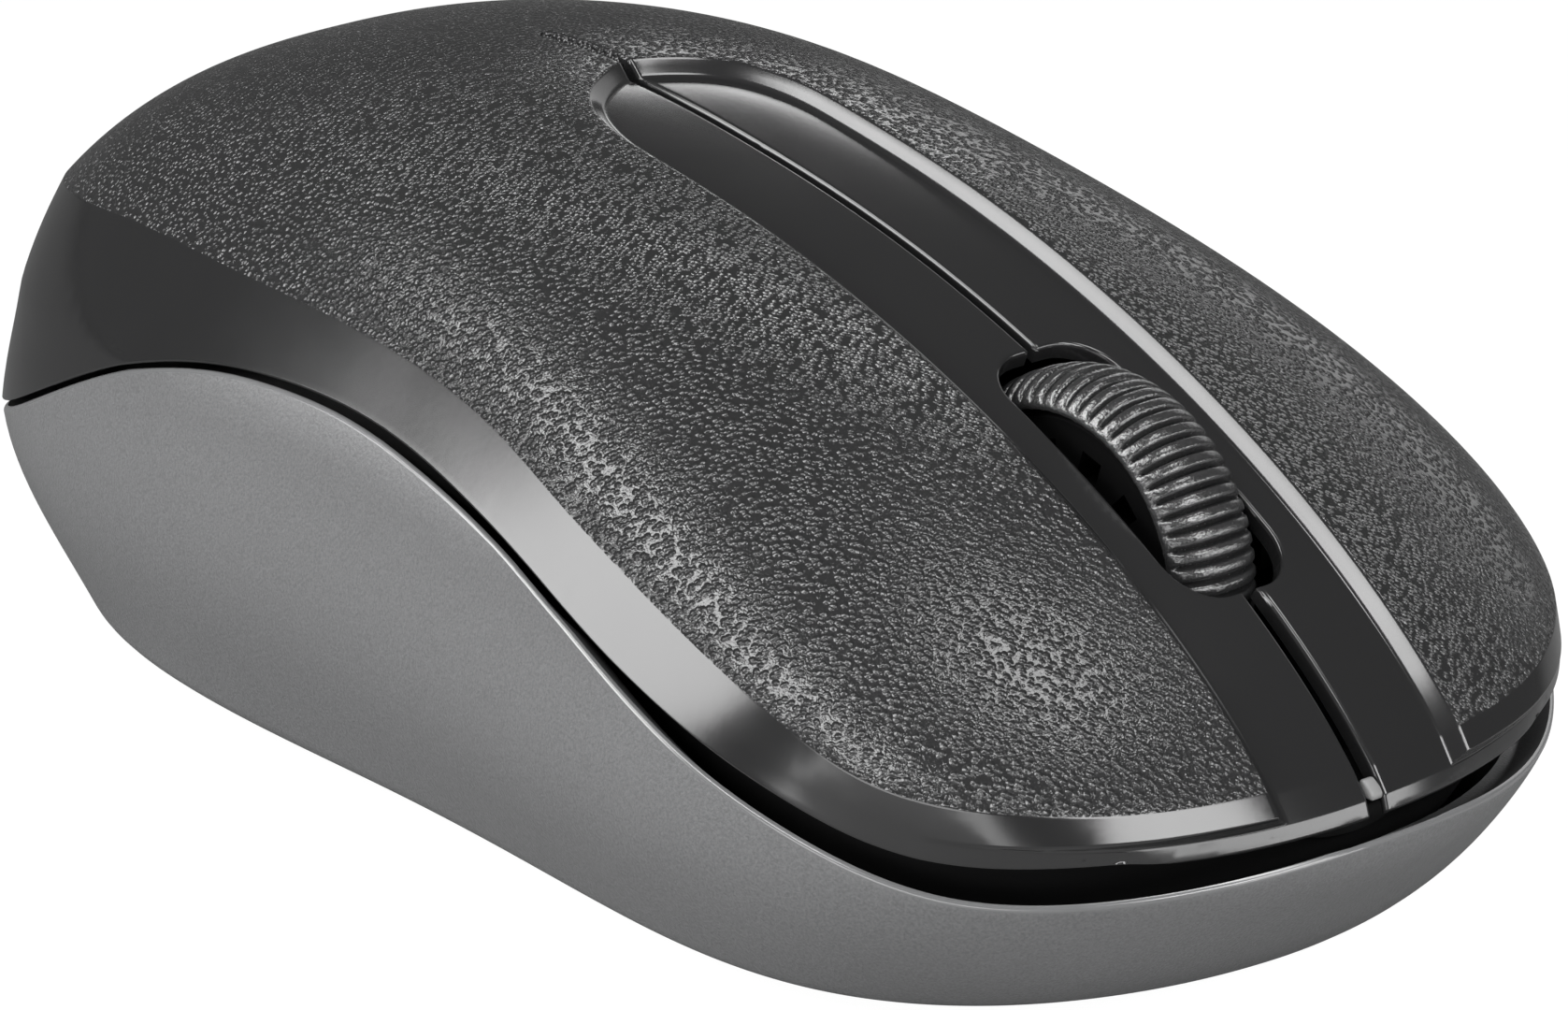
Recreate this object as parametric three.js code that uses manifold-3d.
// Compact wireless optical computer mouse, as an assembly of separate solids.
// Millimetres, +Z up. Origin on the desk under the middle of the body.
// Front (buttons and wheel) is -Y, the palm end is +Y, the user's right is -X.
import * as THREE from "three";
import { mergeVertices } from "three/addons/utils/BufferGeometryUtils.js";
import { ParametricGeometry } from "three/addons/geometries/ParametricGeometry.js";
import Module from "manifold-3d";

const wasm = await Module();
wasm.setup();

// ---------------------------------------------------------------- body dimensions
const FAR = 60; // beyond the body in every direction, for cuts that run right out
const SIDES = [-1, 1];

const HALF_LENGTH = 52.0;
const HALF_WIDTH = 29.24; // before the waist factor
// Rows of [y, value]
const WIDTH_FACTOR = [[-52, 0.104], [-26, 0.03], [0, -0.047], [26, -0.026], [52, -0.032]];
const CROWN_Z = [[-52, 28.25], [-30, 30.54], [-8, 33.6], [14, 36.03], [34, 37.47], [52, 41.91]];
const EQUATOR_Z = [[-52, 10.79], [0, 21.1], [52, 15.95]];
const SOLE_FACTOR = [[-46, 0.114], [-16, -0.088], [14, -0.07], [44, 0.076]];
// Superellipse powers of the plan outline, for its x and its y, and of the dome
const PLAN_POWER = { front: 1.903, rear: 2.502 };
const BLUNT_POWER = { front: 3.573, rear: 2.854 };
const DOME_POWER = { across: 2.587, up: 1.305 };
const SOLE_Z = 0.8; // underside plate; the feet reach the desk
const SOLE = { halfWidth: 28.28, front: 44.6, rear: 41.0 };
// Flank between equator and sole: power of the inward tuck, and outward bulge in mm
const TUCK = { front: 1.837, side: 2.635, rear: 2.245 };
const BULGE = { front: -0.897, side: 0.942, rear: 1.238 };
// Parting heights along half the outline:
// [fraction of its length from the front centre, cover edge z, shell edge z]
const PARTING = [
  [0, 11.75, 10.75], [0.05, 11.68, 10.3], [0.1, 11.55, 9.55], [0.145, 11.4, 9.15],
  [0.187, 11.5, 9.45], [0.223, 12.3, 10.6], [0.255, 13.6, 12.0], [0.295, 15.35, 13.85],
  [0.352, 18.1, 17.05], [0.406, 20.6, 20.05], [0.447, 22.0, 21.5], [0.482, 22.9, 22.35],
  [0.527, 23.5, 23.05], [0.574, 23.35, 22.98], [0.615, 22.55, 22.22], [0.652, 21.05, 20.72],
  [0.688, 18.95, 18.62], [0.79, 12.1, 11.75], [0.87, 9.0, 8.62], [0.94, 7.75, 7.37],
  [1, 7.45, 7.07],
];
const COVER_WALL = 2.0;
const SHELL_WALL = 1.8;
const SOLE_INSIDE_Z = SOLE_Z + SHELL_WALL;
const SLICES = 56; // columns round each outer skin

// ------------------------------------------------------- positions shared by pieces
const WHEEL = { y: -28.4, z: 18.7, radius: 10.4, half: 3.0, drop: 1.35, bore: 8.6 };
const PCB = { z0: 5.6, z1: 7.2, rear: -12.3, inset: 3.2, outlineZ: 5.4 };
const PARTS_Z = PCB.z1 + 0.2; // components stand clear of the board
const SWITCH_SIZE = { width: 5.8, length: 12.8 };
const LEFT_SWITCH = { x: 13.0, y: -33.6, height: 6.5, plungerY: -37.0 };
const SWITCHES = {
  left: LEFT_SWITCH,
  right: { ...LEFT_SWITCH, x: -LEFT_SWITCH.x },
  wheel: { x: -13.0, y: -20.0, height: 5.6, plungerY: -18.0 },
};
const SENSOR_Y = -17;
const BATTERY = { radius: 7.25, y0: -10.0, y1: 39.5, z: 9.95 };
const DOOR = { half: 11.0, y0: -8.5, y1: 37.5, depth: 1.0, ledge: 3.0 };
const RECEIVER = { x: 17.0, y: 10.0 };
const POWER_SWITCH = { slotX: -9.8, knobX: -11.1, bodyX: -10.6, y: -31.5 };
// Mirrored pairs: each stands at +x and at -x
const CASE_SCREW = { x: 17.5, y: -6 };
const BOARD_SCREW = { x: 18.5, y: -26 };
const YOKE_PEG = { x: 6.2, y: -24.5 };

// ------------------------------------------------------------------- body surface
// Cubic spline through rows of [x, ...values], with natural or flat ends.
function spline(rows, column = 1, flatEnds = false) {
  const xs = rows.map((row) => row[0]);
  const ys = rows.map((row) => row[column]);
  const last = xs.length - 1;
  const step = (i) => xs[i + 1] - xs[i];
  const slope = (i) => (ys[i + 1] - ys[i]) / step(i);
  const below = xs.map(() => 0);
  const diagonal = xs.map(() => 1);
  const above = xs.map(() => 0);
  const right = xs.map(() => 0);
  for (let i = 1; i < last; i++) {
    below[i] = step(i - 1);
    diagonal[i] = 2 * (step(i - 1) + step(i));
    above[i] = step(i);
    right[i] = 6 * (slope(i) - slope(i - 1));
  }
  if (flatEnds) {
    diagonal[0] = 2 * step(0);
    above[0] = step(0);
    right[0] = 6 * slope(0);
    below[last] = step(last - 1);
    diagonal[last] = 2 * step(last - 1);
    right[last] = -6 * slope(last - 1);
  }
  for (let i = 1; i <= last; i++) {
    const ratio = below[i] / diagonal[i - 1];
    diagonal[i] -= ratio * above[i - 1];
    right[i] -= ratio * right[i - 1];
  }
  const bend = xs.map(() => 0); // second derivatives
  bend[last] = right[last] / diagonal[last];
  for (let i = last - 1; i >= 0; i--) bend[i] = (right[i] - above[i] * bend[i + 1]) / diagonal[i];
  return (x) => {
    let i = 0;
    while (i < last - 1 && x > xs[i + 1]) i++;
    const from = (xs[i + 1] - x) / step(i);
    const to = (x - xs[i]) / step(i);
    const curve = (from ** 3 - from) * bend[i] + (to ** 3 - to) * bend[i + 1];
    return from * ys[i] + to * ys[i + 1] + (curve * step(i) ** 2) / 6;
  };
}
const widthFactor = spline(WIDTH_FACTOR);
const soleFactor = spline(SOLE_FACTOR);
const crownZ = spline(CROWN_Z);
const equatorZ = spline(EQUATOR_Z);
const coverEdgeZ = spline(PARTING, 1, true);
const shellEdgeZ = spline(PARTING, 2, true);

// Plan outline scaled to 1; angle 0 is the front centre, PI the rear centre.
function unitOutline(angle) {
  const cos = Math.cos(angle);
  const sin = Math.max(0, Math.sin(angle));
  const ramp = (1 + cos) / 2;
  const ease = ramp * ramp * (3 - 2 * ramp);
  const planPower = PLAN_POWER.front * ease + PLAN_POWER.rear * (1 - ease);
  const bluntPower = cos > 0 ? BLUNT_POWER.front : BLUNT_POWER.rear;
  return [sin ** (2 / planPower), -Math.sign(cos) * Math.abs(cos) ** (2 / bluntPower)];
}
function equatorPoint(angle) {
  const [unitX, unitY] = unitOutline(angle);
  const y = unitY * HALF_LENGTH;
  return [unitX * HALF_WIDTH * (1 + widthFactor(y)), y, equatorZ(y)];
}
const blend = (angle, { front, side, rear }) =>
  front * Math.max(Math.cos(angle), 0) ** 2 +
  side * Math.sin(angle) ** 2 +
  rear * Math.max(-Math.cos(angle), 0) ** 2;

// Rows of [length, angle] along the half outline, front centre to rear centre.
const ARC = [[0, 0]];
const ARC_STEPS = 2000;
for (let i = 1, previous = equatorPoint(0), length = 0; i <= ARC_STEPS; i++) {
  const angle = (Math.PI * i) / ARC_STEPS;
  const point = equatorPoint(angle);
  length += Math.hypot(...point.map((value, axis) => value - previous[axis]));
  ARC.push([length, angle]);
  previous = point;
}
function angleAt(share) {
  const length = share * ARC[ARC_STEPS][0];
  let low = 0;
  let high = ARC_STEPS;
  while (high - low > 1) {
    const middle = (low + high) >> 1;
    if (ARC[middle][0] <= length) low = middle;
    else high = middle;
  }
  const part = (length - ARC[low][0]) / (ARC[high][0] - ARC[low][0]);
  return ARC[low][1] + part * (ARC[high][1] - ARC[low][1]);
}
// "turn" runs once round the outline: 0 front centre, 0.5 rear centre, +X side first.
// "fall" runs down the surface: 0 crown, 1 equator, 2 the sole's outline.
const wrap = (turn) => ((turn % 1) + 1) % 1;
function halfOutline(turn) {
  const wrapped = wrap(turn);
  return wrapped <= 0.5 ? [2 * wrapped, 1] : [2 * (1 - wrapped), -1];
}
function surface(turn, fall) {
  const [share, side] = halfOutline(turn);
  const angle = angleAt(share);
  const [unitX, unitY] = unitOutline(angle);
  const [rimX, rimY, rimZ] = equatorPoint(angle);
  if (fall <= 1) {
    const y = rimY * fall;
    const x = unitX * HALF_WIDTH * fall * (1 + widthFactor(y));
    const height = (1 - fall ** DOME_POWER.across) ** (1 / DOME_POWER.up);
    return new THREE.Vector3(side * x, y, rimZ + (crownZ(y) - rimZ) * height);
  }
  const soleY = unitY * (unitY < 0 ? SOLE.front : SOLE.rear);
  const soleX = unitX * SOLE.halfWidth * (1 + soleFactor(soleY));
  const down = fall - 1;
  const tuck = down ** blend(angle, TUCK);
  const bulge = blend(angle, BULGE) * Math.sin(Math.PI * down) ** 2;
  return new THREE.Vector3(
    side * (rimX * (1 - tuck) + soleX * tuck + bulge * Math.sin(angle)),
    rimY * (1 - tuck) + soleY * tuck - bulge * Math.cos(angle),
    rimZ * (1 - down) + SOLE_Z * down,
  );
}
const TURN_STEP = 0.004; // half spans for measuring slopes
const FALL_STEP = 0.012;
function normal(turn, fall) {
  const at = Math.min(fall, 1.97); // stay off the sole's edge
  const downhill = surface(turn, at + FALL_STEP).sub(surface(turn, at - FALL_STEP));
  const around = surface(turn + TURN_STEP, at).sub(surface(turn - TURN_STEP, at));
  return around.cross(downhill).negate().normalize();
}
const inset = (turn, fall, depth) =>
  surface(turn, fall).addScaledVector(normal(turn, fall), -depth);
// The fall at which the surface, moved inwards by depth, comes down to z
function fallAtZ(turn, z, depth = 0) {
  let low = 0.8;
  let high = 2;
  for (let i = 0; i < 34; i++) {
    const middle = (low + high) / 2;
    const point = depth ? inset(turn, middle, depth) : surface(turn, middle);
    if (point.z > z) low = middle;
    else high = middle;
  }
  return (low + high) / 2;
}
function cached(compute) {
  const known = new Map();
  return (turn) => {
    const key = Math.round(wrap(turn) * 1e7);
    if (!known.has(key)) known.set(key, compute(turn));
    return known.get(key);
  };
}
// rows + 1 falls between two others, closer together where the surface bends
const ROW_SAMPLES = 80;
const BEND_WEIGHT = 7; // mm of path that one radian of bend counts for
function spacedFalls(turn, start, end, rows) {
  const fallAt = (sample) => start + ((end - start) * sample) / ROW_SAMPLES;
  const weights = [0];
  let point = surface(turn, start);
  let before = null;
  for (let i = 1; i <= ROW_SAMPLES; i++) {
    const next = surface(turn, fallAt(i));
    const move = next.clone().sub(point);
    const bend = before ? move.angleTo(before) : 0;
    weights.push(weights[i - 1] + move.length() + BEND_WEIGHT * bend);
    point = next;
    before = move;
  }
  const falls = [];
  for (let row = 0, i = 0; row <= rows; row++) {
    const target = (weights[ROW_SAMPLES] * row) / rows;
    while (i < ROW_SAMPLES - 1 && weights[i + 1] < target) i++;
    falls.push(fallAt(i + (target - weights[i]) / (weights[i + 1] - weights[i] || 1)));
  }
  return falls;
}
// The same as a list of functions of turn, one for each row
function fallRows(start, end, rows) {
  const table = cached((turn) => spacedFalls(turn, start(turn), end(turn), rows));
  return Array.from({ length: rows + 1 }, (_, row) => (turn) => table(turn)[row]);
}
const atCrown = () => 0;
const atSole = () => 2;

// The body's outline at height z, moved inwards by depth
function outline(z, depth, steps, from = 0, to = 1) {
  const pointAt = (turn) => surface(turn, fallAtZ(turn, z));
  return Array.from({ length: steps + 1 }, (_, i) => {
    const turn = from + ((to - from) * i) / steps;
    const point = pointAt(turn);
    const along = pointAt(turn + TURN_STEP).sub(pointAt(turn - TURN_STEP));
    const scale = depth / Math.hypot(along.x, along.y);
    return [point.x - along.y * scale, point.y + along.x * scale];
  });
}

// ------------------------------------------------------------------ solid helpers
function solid(geometry) {
  geometry.deleteAttribute("normal");
  geometry.deleteAttribute("uv");
  const merged = mergeVertices(geometry, 1e-4);
  const corners = merged.index.array;
  const make = (flip) => {
    const triangles = [];
    for (let i = 0; i < corners.length; i += 3) {
      const [a, b, c] = corners.slice(i, i + 3);
      if (a !== b && b !== c && a !== c) triangles.push(...(flip ? [b, a, c] : [a, b, c]));
    }
    return new wasm.Manifold(new wasm.Mesh({
      numProp: 3,
      vertProperties: new Float32Array(merged.attributes.position.array),
      triVerts: new Uint32Array(triangles),
    }));
  };
  const made = make(false);
  return made.volume() < 0 ? make(true) : made;
}
// A closed skin through rows of points; each row is a function of turn.
function skin(rows, slices) {
  const last = rows.length - 1;
  const place = (turn, down, target) =>
    target.copy(rows[Math.round(down * last)](Math.round(turn * slices) / slices));
  return solid(new ParametricGeometry(place, slices, last));
}
const pole = (z) => () => new THREE.Vector3(0, 0, z);
// The whole body moved inwards by depth
function pebble(depth, rows, slices) {
  const falls = fallRows(atCrown, atSole, rows).slice(1);
  const rings = falls.map((fall) => (turn) => inset(turn, fall(turn), depth));
  return skin([pole(crownZ(0) - depth), ...rings, pole(SOLE_Z)], slices);
}
const union = (...parts) => parts.reduce((sum, part) => sum.add(part));
const ordered = (a, b) => [Math.min(a, b), Math.max(a, b)];
const centredBox = (x, y, halfX, halfY, z0, z1) =>
  solid(new THREE.BoxGeometry(2 * halfX, 2 * halfY, z1 - z0).translate(x, y, (z0 + z1) / 2));
const box = (x0, x1, y0, y1, z0, z1) =>
  centredBox((x0 + x1) / 2, (y0 + y1) / 2, (x1 - x0) / 2, (y1 - y0) / 2, z0, z1);
// A box given on the +X side, mirrored when side is -1
const sideBox = (side, x0, x1, ...rest) => box(...ordered(side * x0, side * x1), ...rest);
function rodZ(x, y, radius, z0, z1, segments = 14) {
  const rod = new THREE.CylinderGeometry(radius, radius, z1 - z0, segments);
  return solid(rod.rotateX(Math.PI / 2).translate(x, y, (z0 + z1) / 2));
}
function rodX(x0, x1, radius, y, z, segments) {
  const rod = new THREE.CylinderGeometry(radius, radius, x1 - x0, segments);
  return solid(rod.rotateZ(Math.PI / 2).translate((x0 + x1) / 2, y, z));
}
function prism(points, z0, z1, curveSegments = 6) {
  const isShape = points instanceof THREE.Shape;
  const shape = isShape ? points : new THREE.Shape(points.map((p) => new THREE.Vector2(...p)));
  const options = { depth: z1 - z0, bevelEnabled: false, curveSegments };
  return solid(new THREE.ExtrudeGeometry(shape, options).translate(0, 0, z0));
}
function roundRect(x0, x1, y0, y1, radius) {
  const shape = new THREE.Shape();
  shape.moveTo(x0 + radius, y0);
  shape.lineTo(x1 - radius, y0);
  const corners = [
    [x1 - radius, y0 + radius], [x1 - radius, y1 - radius],
    [x0 + radius, y1 - radius], [x0 + radius, y0 + radius],
  ];
  corners.forEach(([x, y], i) => {
    shape.absarc(x, y, radius, ((i - 1) * Math.PI) / 2, (i * Math.PI) / 2);
  });
  return shape;
}
// Solids of revolution; a profile is rows of [place along the axis, radius].
const lathe = (profile, segments) =>
  new THREE.LatheGeometry(profile.map(([along, r]) => new THREE.Vector2(r, along)), segments);
const turnX = (profile, segments, y, z) =>
  solid(lathe(profile, segments).rotateZ(-Math.PI / 2).translate(0, y, z));
const turnY = (profile, segments, z) => solid(lathe(profile, segments).translate(0, 0, z));
const turnZ = (profile, segments, x, y) =>
  solid(lathe(profile, segments).rotateX(Math.PI / 2).translate(x, y, 0));
function tube(points, radius, steps, sides) {
  const vectors = points.map((point) => new THREE.Vector3(...point));
  const extrudePath = new THREE.CatmullRomCurve3(vectors, false, "centripetal");
  const circle = new THREE.Shape();
  circle.absarc(0, 0, radius, 0, 2 * Math.PI);
  const options = { steps, extrudePath, curveSegments: sides / 2, bevelEnabled: false };
  return solid(new THREE.ExtrudeGeometry(circle, options));
}
// Follows a half outline with its mirror image; points on the axis aren't repeated
const mirrorX = (points) => [
  ...points,
  ...points.filter(([x]) => x !== 0).reverse().map(([x, y]) => [-x, y]),
];

// -------------------------------------------------------------- buttons and palm
const CHANNEL = { depth: 0.87, floorZ: 9 };
// Half outline of the shallow channel along the middle: [x, y], rear to front
const CHANNEL_HALF = [
  [0, 11.5], [1.0, 11.25], [2.9, 10.3], [4.7, 9.0], [5.9, 7.4],
  [6.7, 5.3], [7.05, 3.4], [7.1, 1.0], [7.1, -54],
];
const FLEX_Y = 12.0; // buttons end and the palm part begins
const SPLIT_GAP = 0.3;
const SEAM = { halfRear: 0.3, halfFront: 0.6, narrowY: -24, wideY: -39 };
const SLOT = { y0: -40.5, y1: -22.5, half: 4.0, radius: 2.8 };
const BUTTON_ROD = { halfX: 1.6, halfY: 1.4, clearance: 1.05 };
const BUTTON_RIB = { half: 0.5, y1: 6, z: 26.5, frontZ: 26.51, stepY: -20 };
const LID_TOP = 40; // above the cover; the parts under the lids are trimmed to it
const PALM_GROOVE = { y1: 18.7, depth: 1.15, depthY: 14 };

const coverFall = cached((turn) => fallAtZ(turn, coverEdgeZ(halfOutline(turn)[0])));
const shellFall = cached((turn) => fallAtZ(turn, shellEdgeZ(halfOutline(turn)[0])));

function buildCover() {
  const outer = fallRows(atCrown, coverFall, 10).slice(1);
  const inner = fallRows(atCrown, coverFall, 5).slice(1).reverse();
  return skin([
    pole(crownZ(0)),
    ...outer.map((fall) => (turn) => surface(turn, fall(turn))),
    ...inner.map((fall, i) => (turn) => {
      const point = inset(turn, fall(turn), COVER_WALL);
      // the rim rises slightly inwards, at least
      if (i === 0) point.z = Math.max(point.z, surface(turn, fall(turn)).z + 0.05);
      return point;
    }),
    pole(crownZ(0) - COVER_WALL),
  ], SLICES);
}
const cover = buildCover();
const channelCut = prism(mirrorX(CHANNEL_HALF), CHANNEL.floorZ, FAR)
  .subtract(pebble(CHANNEL.depth, 12, 56));
const slotCut = prism(roundRect(-SLOT.half, SLOT.half, SLOT.y0, SLOT.y1, SLOT.radius), -FAR, FAR);
const seamCut = prism(mirrorX([
  [SEAM.halfRear, FLEX_Y + 1], [SEAM.halfRear, SEAM.narrowY],
  [SEAM.halfFront, SEAM.wideY], [SEAM.halfFront, -FAR],
]), -FAR, FAR);
const lidInside = pebble(1.0, 8, 28);

function button(side) {
  const { x: switchX, height, plungerY } = LEFT_SWITCH;
  const x = side * switchX;
  // the rod that presses the switch, and a stiffening rib under the lid
  const rodZ0 = PARTS_Z + height + BUTTON_ROD.clearance;
  const rod = centredBox(x, plungerY, BUTTON_ROD.halfX, BUTTON_ROD.halfY, rodZ0, LID_TOP);
  const { half, y1, z, frontZ, stepY } = BUTTON_RIB;
  const rib = box(x - half, x + half, plungerY, y1, z, LID_TOP)
    .subtract(box(x - 5, x + 5, -FAR, stepY, 20, frontZ));
  return cover
    .add(rod.add(rib).intersect(lidInside))
    .intersect(sideBox(side, 0, FAR, -FAR, FLEX_Y - SPLIT_GAP / 2, -FAR, FAR))
    .subtract(channelCut)
    .subtract(slotCut)
    .subtract(seamCut);
}
function buildPalmCover() {
  const { y1, depth, depthY } = PALM_GROOVE;
  return cover
    .intersect(box(-FAR, FAR, FLEX_Y + SPLIT_GAP / 2, FAR, -FAR, FAR))
    .subtract(box(-SEAM.halfRear, SEAM.halfRear, 10, y1, crownZ(depthY) - depth, FAR));
}
const seamRib = box(-0.3, 0.3, -49.2, -42.8, 8.2, 14.4).intersect(pebble(2.25, 10, 48));

// ---------------------------------------------------------------------- mid frame
const FRAME = { inset: 3.3, wall: 1.0, aboveCoverEdge: 1.8, belowShellEdge: 2.6 };

// Dark inner frame seen in the parting gap, with a lug and post for each case screw
function buildMidFrame() {
  const topZ = (turn) => coverEdgeZ(halfOutline(turn)[0]) + FRAME.aboveCoverEdge;
  const lowZ = (turn) => shellEdgeZ(halfOutline(turn)[0]) - FRAME.belowShellEdge;
  const top = cached((turn) => fallAtZ(turn, topZ(turn)));
  const low = cached((turn) => fallAtZ(turn, lowZ(turn)));
  const ring = (fall, depth) => (turn) => inset(turn, fall(turn), depth);
  let frame = skin([
    ...fallRows(top, low, 3).map((fall) => ring(fall, FRAME.inset)),
    ring(low, FRAME.inset + FRAME.wall),
    ring(top, FRAME.inset + FRAME.wall),
    ring(top, FRAME.inset),
  ], SLICES).subtract(box(-0.65, 0.65, -FAR, -40, 0, 30)); // gap for the seam rib
  const { x, y } = CASE_SCREW;
  for (const side of SIDES)
    frame = frame
      .add(sideBox(side, 16, 24.6, y - 2, y + 2, 19.6, 21.2))
      .add(rodZ(side * x, y, 2.9, 8.9, 21.0))
      .subtract(rodZ(side * x, y, 1.4, 8, 16));
  return frame;
}

// --------------------------------------------------------------------------- feet
const FOOT = { inset: 2.6, innerInset: 6.8, height: SOLE_Z + 0.3 };
const FOOT_RECESS = { clearance: 0.35, depth: 0.6 };
const OUTLINE_LENGTH = 260; // rounded, turns a foot's end clearance into turn
// from and to are turns on the +X side
const FEET = [
  { name: "foot_front_left", side: 1, from: 0.065, to: 0.165 },
  { name: "foot_front_right", side: -1, from: 0.065, to: 0.165 },
  { name: "foot_rear_left", side: 1, from: 0.36, to: 0.435 },
  { name: "foot_rear_right", side: -1, from: 0.36, to: 0.435 },
];
function footShape({ side, from, to }, clearance = 0) {
  const extra = clearance / OUTLINE_LENGTH;
  const edge = (depth) => outline(SOLE_Z, depth, 6, from - extra, to + extra);
  const outer = edge(FOOT.inset - clearance);
  const inner = edge(FOOT.innerInset + clearance).reverse();
  return [...outer, ...inner].map(([x, y]) => [side * x, y]);
}

// -------------------------------------------------------------------- lower shell
function shellSkin() {
  const innerEnd = cached((turn) => fallAtZ(turn, SOLE_INSIDE_Z, SHELL_WALL));
  return skin([
    pole(SOLE_Z),
    ...fallRows(shellFall, atSole, 5).reverse().map((fall) => (turn) => surface(turn, fall(turn))),
    ...fallRows(shellFall, innerEnd, 4).map((fall, i) => (turn) => {
      const point = inset(turn, fall(turn), SHELL_WALL);
      // the rim never rises inwards
      if (i === 0) point.z = Math.min(point.z, surface(turn, fall(turn)).z);
      return point;
    }),
    pole(SOLE_INSIDE_Z),
  ], SLICES);
}
function buildLowerShell() {
  const floorZ = SOLE_INSIDE_Z - 0.5; // sunk into the floor so the parts fuse
  const { x: stickX, y: stickY } = RECEIVER;
  const { slotX, y: slotY } = POWER_SWITCH;
  const { half, y0, y1, depth, ledge } = DOOR;
  let shell = shellSkin();
  // bosses, and walls along both sides of the battery
  for (const side of SIDES)
    shell = shell
      .add(rodZ(side * CASE_SCREW.x, CASE_SCREW.y, 3.4, floorZ, 8.6))
      .add(rodZ(side * BOARD_SCREW.x, BOARD_SCREW.y, 2.5, floorZ, 5.3))
      .add(rodZ(side * YOKE_PEG.x, YOKE_PEG.y, 2.3, floorZ, 5.3))
      .add(sideBox(side, 8.2, 9.4, -9, 38, floorZ, 12));
  // low wall behind the battery, and the receiver's housing
  shell = shell
    .add(box(-9.4, 9.4, 40.6, 41.8, floorZ, 4.6).intersect(pebble(1.2, 8, 36)))
    .add(centredBox(stickX, stickY, 4.4, 9.0, floorZ, 21.4));
  for (const foot of FEET) {
    const recess = footShape(foot, FOOT_RECESS.clearance);
    shell = shell.subtract(prism(recess, 0, SOLE_Z + FOOT_RECESS.depth));
  }
  shell = shell
    // door recess and battery opening
    .subtract(prism(roundRect(-half, half, y0, y1, 3), 0, SOLE_Z + depth, 4))
    .subtract(box(-half + ledge, half - ledge, y0 + 1.4, y1 - 1.4, 0, 5))
    // receiver bay: cap, then plug
    .subtract(centredBox(stickX, stickY, 3.4, 7.6, 0, 7.6))
    .subtract(centredBox(stickX, stickY, 2.7, 6.4, 7.5, 20.2))
    // sensor window
    .subtract(rodZ(0, SENSOR_Y, 3.6, 0, 5, 24).add(centredBox(0, SENSOR_Y, 3.6, 2.4, 0, 5)))
    // power switch slot and the shallow recess round it
    .subtract(centredBox(slotX, slotY, 3.4, 1.4, 0, 5))
    .subtract(prism(
      roundRect(slotX - 4.6, slotX + 4.6, slotY - 2.4, slotY + 2.4, 1.2), 0, SOLE_Z + 0.5, 3,
    ));
  // screw and peg holes
  for (const side of SIDES)
    shell = shell
      .subtract(rodZ(side * CASE_SCREW.x, CASE_SCREW.y, 2.7, 0, 3.4))
      .subtract(rodZ(side * CASE_SCREW.x, CASE_SCREW.y, 1.5, 0, 10))
      .subtract(rodZ(side * BOARD_SCREW.x, BOARD_SCREW.y, 1.35, SOLE_INSIDE_Z, 6))
      .subtract(rodZ(side * YOKE_PEG.x, YOKE_PEG.y, 1.35, SOLE_INSIDE_Z + 0.3, 6));
  return shell;
}

// --------------------------------------------------------------- underside parts
function buildDoor() {
  const { half, y0, y1 } = DOOR;
  const gap = 0.3;
  const plate = roundRect(-half + gap, half - gap, y0 + gap, y1 - gap, 3.6);
  return prism(plate, SOLE_Z, SOLE_Z + 0.75, 4)
    .add(box(-6.5, 6.5, y0 + 3, y0 + 4.2, SOLE_Z + 0.5, SOLE_Z + 1.5))
    .add(box(-4, 4, y1 - 3.6, y1 - 2.4, SOLE_Z + 0.5, SOLE_Z + 1.7))
    .subtract(prism(roundRect(-5.5, 5.5, y1 - 7, y1 - 4.4, 1.2), 0, SOLE_Z + 0.3, 3));
}
// Slider with two grooves in its underside
function buildKnob() {
  const { knobX, y } = POWER_SWITCH;
  let knob = centredBox(knobX, y, 1.5, 1.0, SOLE_Z + 0.2, 2.95);
  for (const side of SIDES)
    knob = knob.subtract(centredBox(knobX + side * 0.6, y, 0.2, 1.5, 0, SOLE_Z + 0.5));
  return knob;
}
const knobBody = centredBox(POWER_SWITCH.bodyX, POWER_SWITCH.y, 4.4, 1.9, 3.2, 5.4);
const lensBar = box(-4.2, 12.5, SENSOR_Y - 3.6, SENSOR_Y + 3.6, 2.95, 4.6)
  .add(rodZ(0, SENSOR_Y, 2.6, 1.5, 3.2, 16))
  .add(centredBox(0, SENSOR_Y, 2, 2, 4.4, 5.4));

// -------------------------------------------------------------------------- wheel
const HUB = { radius: 8.3, half: 2.5, collarRadius: 3.4, collarWidth: 1.2 };
const AXLE = { radius: 1.3, half: 8.4 };
const ENCODER = { slots: 12, radius: 5.9 };
const YOKE = { inner: 5.0, outer: 7.4, rear: -15, z0: 13, z1: 15.6 };

function buildTyre() {
  const { y, z, radius, half, drop, bore } = WHEEL;
  const tread = [];
  for (let i = 0; i <= 6; i++) {
    const x = -half + (2 * half * i) / 6;
    tread.push([x, radius - drop * Math.abs(x / half) ** 2.2]);
  }
  return turnX([[-half, bore], ...tread, [half, bore], [-half, bore]], 36, y, z);
}
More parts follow.
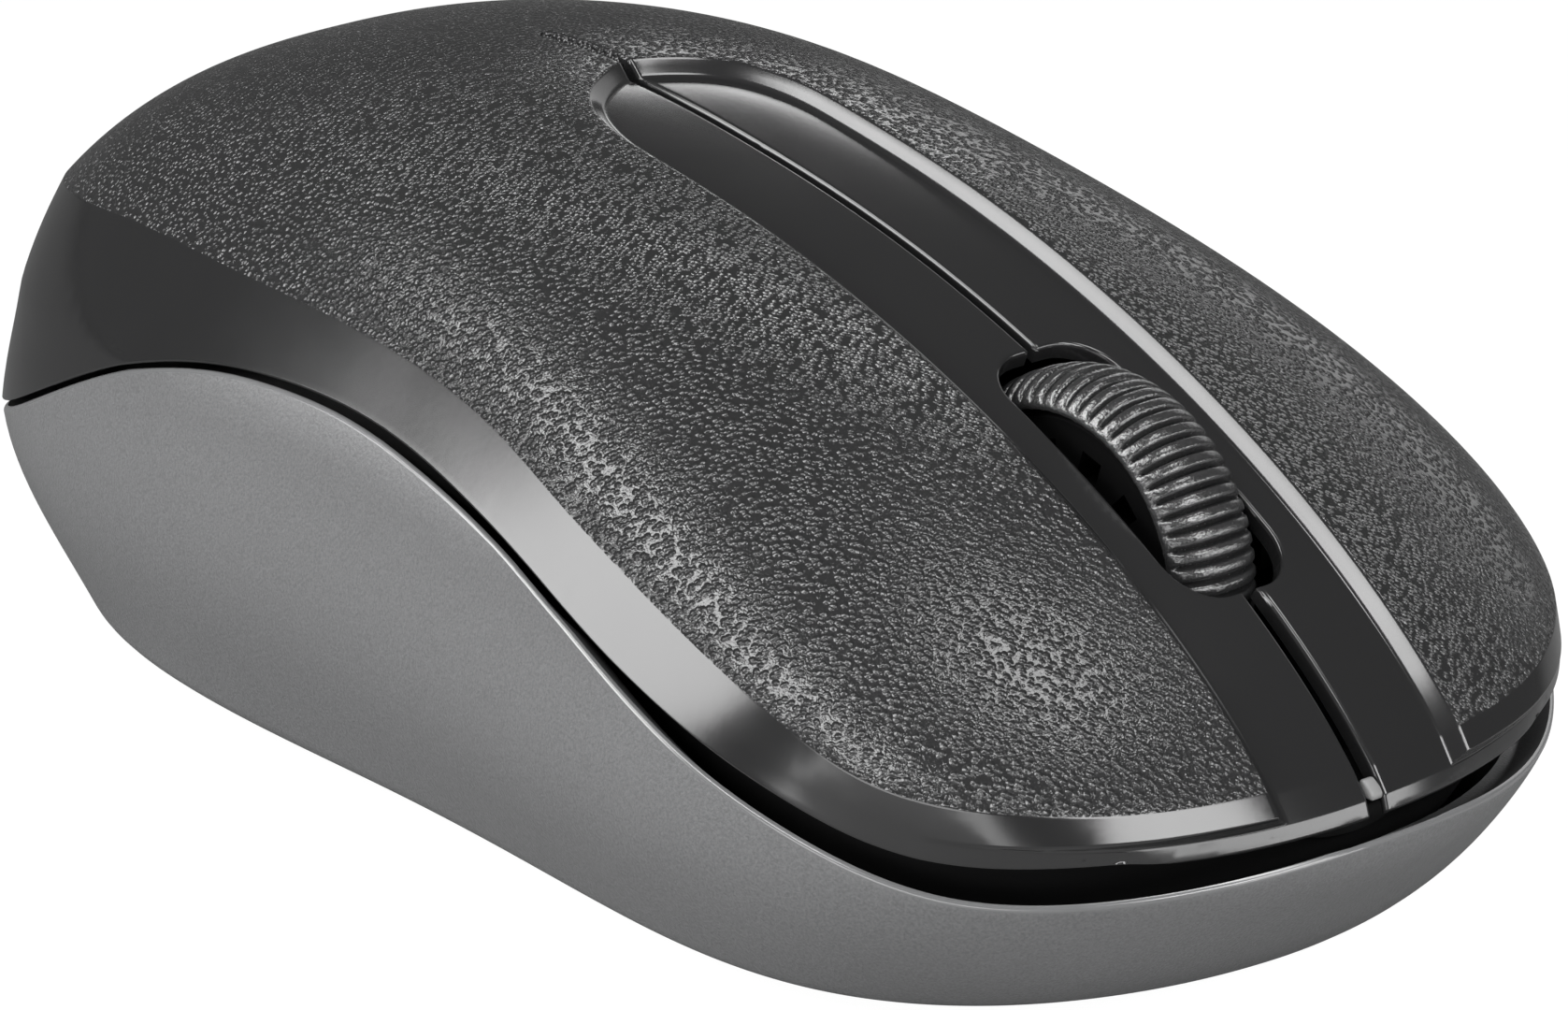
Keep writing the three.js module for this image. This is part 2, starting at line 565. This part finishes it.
// Hub and axle in one, with a ring of encoder slots
function buildHub() {
  const collarX = HUB.half + HUB.collarWidth;
  let hub = turnX(mirrorX([
    [-AXLE.half, 0], [-AXLE.half, AXLE.radius], [-collarX, AXLE.radius],
    [-collarX, HUB.collarRadius], [-HUB.half, HUB.collarRadius], [-HUB.half, HUB.radius],
  ]), 36, 0, 0);
  for (let i = 0; i < ENCODER.slots; i++) {
    const angle = (2 * Math.PI * (i + 0.5)) / ENCODER.slots;
    const slot = new THREE.BoxGeometry(8, 1.5, 2.0).translate(0, 0, ENCODER.radius);
    hub = hub.subtract(solid(slot.rotateX(angle)));
  }
  return hub.translate([0, WHEEL.y, WHEEL.z]);
}
function buildYoke() {
  const { inner, outer, rear, z0, z1 } = YOKE;
  const notch = AXLE.radius + 0.3;
  const arms = SIDES.map((side) => union(
    sideBox(side, inner, outer, WHEEL.y - 2, WHEEL.y + 2, z0, 21),
    sideBox(side, inner, outer, -27, rear, z0, z1),
    rodZ(side * YOKE_PEG.x, YOKE_PEG.y, 1.05, 4.0, 14),
  ));
  return union(
    ...arms,
    box(-outer, outer, -17.4, rear, z0, z1),
    box(-14.6, -6, -19.2, -16.8, 14.05, z1), // finger over the wheel switch
  )
    .subtract(rodX(-9, 9, notch, WHEEL.y, WHEEL.z, 16))
    .subtract(box(-9, 9, WHEEL.y - notch, WHEEL.y + notch, WHEEL.z, 25));
}
const detent = tube([
  [3.1, -18.1, 15.0], [3.35, -20.3, 15.3], [3.3, -22.6, 16.6], [3.3, -24.6, 19.4],
  [3.3, -24.4, 21.3],
], 0.25, 10, 6);

// -------------------------------------------------------------------- electronics
function buildBoard() {
  let board = prism(outline(PCB.outlineZ, PCB.inset, 56).slice(0, -1), PCB.z0, PCB.z1)
    .intersect(box(-FAR, FAR, -FAR, PCB.rear, 0, 20));
  for (const side of SIDES)
    board = board
      .subtract(rodZ(side * BOARD_SCREW.x, BOARD_SCREW.y, 1.35, 0, 20))
      .subtract(rodZ(side * YOKE_PEG.x, YOKE_PEG.y, 1.5, 0, 20));
  return board
    .subtract(rodZ(0, SENSOR_Y, 1.6, 0, 20))
    .subtract(rodZ(8.6, SENSOR_Y, 1.1, 0, 20, 12));
}
function switchParts([name, { x, y, height, plungerY }]) {
  const { width, length } = SWITCH_SIZE;
  const top = PARTS_Z + height;
  const body = centredBox(x, y, width / 2, length / 2, PARTS_Z, top)
    .subtract(centredBox(x, plungerY, 1.0, 1.8, top - 2.2, top + 2));
  const plunger = centredBox(x, plungerY, 0.65, 1.4, top - 1.5, top + 0.8);
  return [
    [`${name}_switch_body`, body, MATERIALS.blackSwitch],
    [`${name}_switch_plunger`, plunger, MATERIALS.plunger],
  ];
}
// One half of the wheel's light gate, its round window facing the wheel
const gateHalf = (side) => sideBox(side, 4.6, 6.4, -34.6, -30.9, PARTS_Z, 16.6)
  .add(rodX(...ordered(side * 4.0, side * 4.8), 1.1, -32.7, 14.5, 12));
const sensor = centredBox(0, SENSOR_Y, 4.9, 4.4, PARTS_Z, PARTS_Z + 2.4)
  .add(centredBox(0, SENSOR_Y, 3.6, 3.4, PARTS_Z + 2.2, PARTS_Z + 2.9));
const led = turnX([
  [6.6, 0], [6.9, 0.8], [7.6, 1.35], [8.4, 1.5], [12.2, 1.5], [12.2, 1.75], [13.0, 1.75],
  [13.0, 0],
], 16, SENSOR_Y, PARTS_Z + 1.85);
const radioChip = box(-7.0, -2.0, -43.6, -38.6, PARTS_Z, PARTS_Z + 0.9);
const crystal = box(1.2, 6.2, -42.8, -39.6, PARTS_Z, PARTS_Z + 1.2);
const CAPACITOR_PROFILE = [ // [height over its foot, radius]
  [0, 0], [0, 2.2], [0.9, 2.2], [1.3, 2.0], [1.7, 2.2], [6.2, 2.2], [6.5, 1.9], [6.5, 0],
];
const capacitor = turnZ(CAPACITOR_PROFILE.map(([z, r]) => [PARTS_Z + z, r]), 14, 19.2, -19.0);

// ------------------------------------------------------------------------ battery
function buildCell() {
  const { y0, y1, z } = BATTERY;
  return turnY([
    [y0 - 1.0, 0], [y0 - 1.0, 2.5], [y0 - 0.8, 2.75], [y0, 2.75], [y0, 6.3],
    [y0 + 0.5, 6.9], [y1 - 0.4, 6.9], [y1, 6.5], [y1, 0],
  ], 24, z);
}
function buildSleeve() {
  const { y0, y1, radius, z } = BATTERY;
  const [front, rear, bore] = [y0 + 0.9, y1 - 0.5, 7.0];
  return turnY([[front, bore], [front, radius], [rear, radius], [rear, bore], [front, bore]], 24, z);
}
// Conical coil behind the cell, widening to the rear
function buildCoil() {
  const points = [];
  for (let i = 0; i <= 40; i++) {
    const part = i / 40;
    const angle = 2 * Math.PI * 3.5 * part;
    const radius = 2.4 + 2.2 * part;
    const y = BATTERY.y1 + 0.7 + 2.9 * part;
    points.push([radius * Math.cos(angle), y, BATTERY.z + radius * Math.sin(angle)]);
  }
  return tube(points, 0.32, 66, 4);
}
const plusContact = union(
  box(-4, 4, -12.0, -11.45, 6.2, 14.6),
  box(-9.2, -4, -12.0, -11.45, 7.4, 10),
  box(-9.2, -6.2, -14.6, -11.5, 7.4, 7.9),
);
const WIRE_RADIUS = 0.5;
const redWire = tube([
  [4.6, -12.0, 13.2], [5.5, -12.4, 14.6], [6.5, -13.3, 13.2], [6.7, -13.9, 10.4],
  [6.5, -14.1, 8.0],
], WIRE_RADIUS, 10, 6);
const blackWire = tube([
  [6.0, 43.3, 9.2], [8.6, 42.6, 8.0], [10.9, 39.6, 5.2], [11.1, 30, 4.4], [11.1, 8, 4.4],
  [11.0, -8, 4.6], [10.8, -10.6, 7.4], [10.6, -12.2, 8.7], [10.4, -13.9, 8.0],
], WIRE_RADIUS, 22, 6);

// ----------------------------------------------------------------------- receiver
const { x: plugX, y: plugY } = RECEIVER;
const receiverCap = prism(
  roundRect(plugX - 3.1, plugX + 3.1, plugY - 7.3, plugY + 7.3, 1.6), SOLE_Z, 7.2, 4,
);
const plugShell = centredBox(plugX, plugY, 2.25, 6.05, 7.3, 19.6)
  .subtract(centredBox(plugX, plugY, 1.95, 5.75, 8.0, 20));
const plugTongue = box(plugX - 1.6, plugX + 0.3, plugY - 5.4, plugY + 5.4, 8.2, 18.6);

// ------------------------------------------------------------------------- screws
// faceZ is the head's outer face, with the cross in it; the shank runs to tipZ.
const BOARD_SCREW_SIZE = {
  headRadius: 2.0, faceZ: PCB.z1 + 1.5, headHeight: 1.4, shankRadius: 1.0, tipZ: 3.2,
};
const CASE_SCREW_SIZE = {
  headRadius: 2.3, faceZ: 1.5, headHeight: 1.6, shankRadius: 1.1, tipZ: 14.5,
};
function screw(side, place, { headRadius, faceZ, headHeight, shankRadius, tipZ }) {
  const x = side * place.x;
  const { y } = place;
  const inward = Math.sign(tipZ - faceZ);
  const crossZ = ordered(faceZ - inward, faceZ + inward * 0.7);
  const [long, thin] = [headRadius * 0.55, 0.28]; // half sizes of the cross
  return rodZ(x, y, headRadius, ...ordered(faceZ, faceZ + inward * headHeight), 16)
    .add(rodZ(x, y, shankRadius, ...ordered(faceZ + inward * 0.2, tipZ), 10))
    .subtract(centredBox(x, y, long, thin, ...crossZ))
    .subtract(centredBox(x, y, thin, long, ...crossZ));
}

// ----------------------------------------------------------------------- assembly
const material = (settings) => new THREE.MeshStandardMaterial(settings);
const MATERIALS = {
  charcoal: material({ color: 0x3a3a3b, roughness: 0.62 }),
  grey: material({ color: 0x77787a, roughness: 0.55 }),
  black: material({ color: 0x1b1b1c, roughness: 0.6 }),
  rubber: material({ color: 0x2b2b2c, roughness: 0.85 }),
  hub: material({ color: 0xb9babc, roughness: 0.5 }),
  light: material({ color: 0xc4c5c6, roughness: 0.5 }),
  board: material({ color: 0x1f6b3a, roughness: 0.5 }),
  steel: material({ color: 0xb8bbc0, roughness: 0.3, metalness: 1 }),
  foot: material({ color: 0x151516, roughness: 0.35 }),
  clear: material({ color: 0xdfe6ea, roughness: 0.08 }),
  blackSwitch: material({ color: 0x232325, roughness: 0.5 }),
  plunger: material({ color: 0xe7e3d8, roughness: 0.5 }),
  red: material({ color: 0xb32020, roughness: 0.45 }),
  dark: material({ color: 0x18181a, roughness: 0.45 }),
  sleeve: material({ color: 0x2f3f4c, roughness: 0.35 }),
  tongue: material({ color: 0x141416, roughness: 0.5 }),
  led: material({ color: 0xe8d9d0, roughness: 0.1 }),
  gold: material({ color: 0xb9a06a, roughness: 0.35, metalness: 1 }),
};
const mouse = new THREE.Group();
mouse.name = "computer_mouse";

// parts are rows of [name, manifold, material]
function addGroup(parts) {
  const group = new THREE.Group();
  mouse.add(group);
  for (const [name, manifold, finish] of parts) {
    const { vertProperties, triVerts } = manifold.getMesh();
    const geometry = new THREE.BufferGeometry();
    const positions = new THREE.BufferAttribute(new Float32Array(vertProperties), 3);
    geometry.setAttribute("position", positions);
    geometry.setIndex(new THREE.BufferAttribute(new Uint32Array(triVerts), 1));
    geometry.computeVertexNormals();
    const mesh = new THREE.Mesh(geometry, finish);
    mesh.name = name;
    group.add(mesh);
  }
}

addGroup([
  ["lower_shell", buildLowerShell(), MATERIALS.grey],
  ["mid_frame", buildMidFrame(), MATERIALS.black],
  ["palm_cover", buildPalmCover(), MATERIALS.charcoal],
  ["left_button", button(1), MATERIALS.charcoal],
  ["right_button", button(-1), MATERIALS.charcoal],
  ["seam_rib", seamRib, MATERIALS.light],
  ...FEET.map((foot) => [foot.name, prism(footShape(foot), 0, FOOT.height), MATERIALS.foot]),
  ["battery_door", buildDoor(), MATERIALS.grey],
  ["power_switch_knob", buildKnob(), MATERIALS.light],
  ["power_switch_body", knobBody, MATERIALS.steel],
]);
addGroup([
  ["wheel_tyre", buildTyre(), MATERIALS.rubber],
  ["wheel_hub", buildHub(), MATERIALS.hub],
  ["wheel_yoke", buildYoke(), MATERIALS.light],
  ["detent_spring", detent, MATERIALS.steel],
]);
addGroup([
  ["main_pcb", buildBoard(), MATERIALS.board],
  ...Object.entries(SWITCHES).flatMap(switchParts),
  ["ir_emitter", gateHalf(-1), MATERIALS.clear],
  ["ir_detector", gateHalf(1), MATERIALS.dark],
  ["optical_sensor", sensor, MATERIALS.dark],
  ["sensor_lens", lensBar, MATERIALS.clear],
  ["sensor_led", led, MATERIALS.led],
  ["radio_chip", radioChip, MATERIALS.dark],
  ["crystal", crystal, MATERIALS.steel],
  ["capacitor", capacitor, MATERIALS.dark],
  ["pcb_screw_left", screw(1, BOARD_SCREW, BOARD_SCREW_SIZE), MATERIALS.steel],
  ["pcb_screw_right", screw(-1, BOARD_SCREW, BOARD_SCREW_SIZE), MATERIALS.steel],
  ["case_screw_left", screw(1, CASE_SCREW, CASE_SCREW_SIZE), MATERIALS.steel],
  ["case_screw_right", screw(-1, CASE_SCREW, CASE_SCREW_SIZE), MATERIALS.steel],
]);
addGroup([
  ["battery_cell", buildCell(), MATERIALS.steel],
  ["battery_sleeve", buildSleeve(), MATERIALS.sleeve],
  ["battery_spring", buildCoil(), MATERIALS.steel],
  ["battery_plus_contact", plusContact, MATERIALS.gold],
  ["red_wire", redWire, MATERIALS.red],
  ["black_wire", blackWire, MATERIALS.dark],
]);
addGroup([
  ["receiver_cap", receiverCap, MATERIALS.dark],
  ["receiver_plug_shell", plugShell, MATERIALS.steel],
  ["receiver_tongue", plugTongue, MATERIALS.tongue],
]);

export default mouse;
